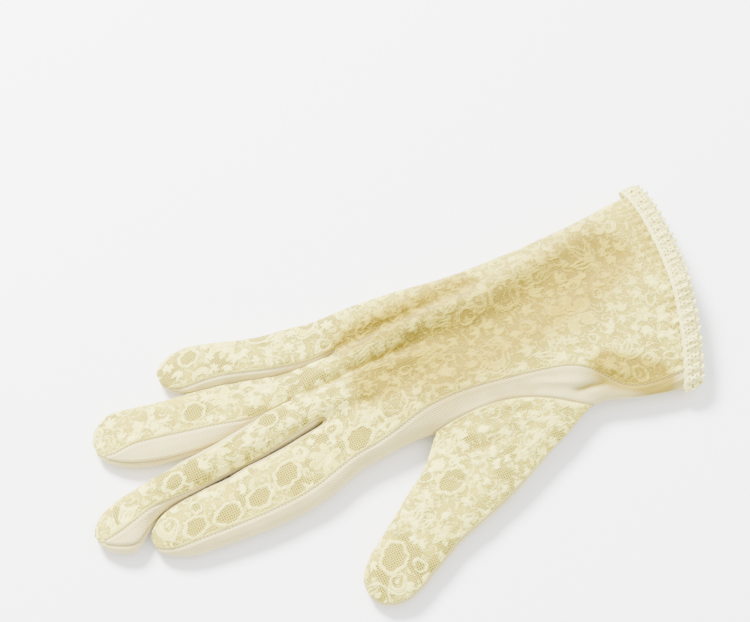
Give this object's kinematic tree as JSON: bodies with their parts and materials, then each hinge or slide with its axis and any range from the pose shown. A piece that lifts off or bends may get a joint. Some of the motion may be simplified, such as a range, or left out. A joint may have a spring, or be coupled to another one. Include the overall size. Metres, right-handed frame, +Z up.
{
  "type": "evening glove",
  "caption": "Empty right-hand wrist-length lace dress glove lying on its palm, with a plain knitted palm, finger gussets and a ruffled lace cuff edging.",
  "frame": {"origin": "centre of the bounding box's underside, on the surface the glove lies on", "axes": "+X from the fingertips to the cuff, +Y to the little finger's side, +Z up out of the back of the hand"},
  "size_m": [0.24, 0.1238, 0.0176],
  "materials": {
    "lace": "raised lace",
    "jersey": "fine matte knit",
    "trim": "gathered lace"
  },
  "bodies": {
    "root": {"back_lace": "lace", "palm_jersey": "jersey", "gusset_little_ring": "jersey", "gusset_ring_middle": "jersey", "gusset_middle_index": "jersey", "thumb_lace": "lace", "thumb_jersey": "jersey", "cuff_trim": "trim"}
  },
  "joints": []
}
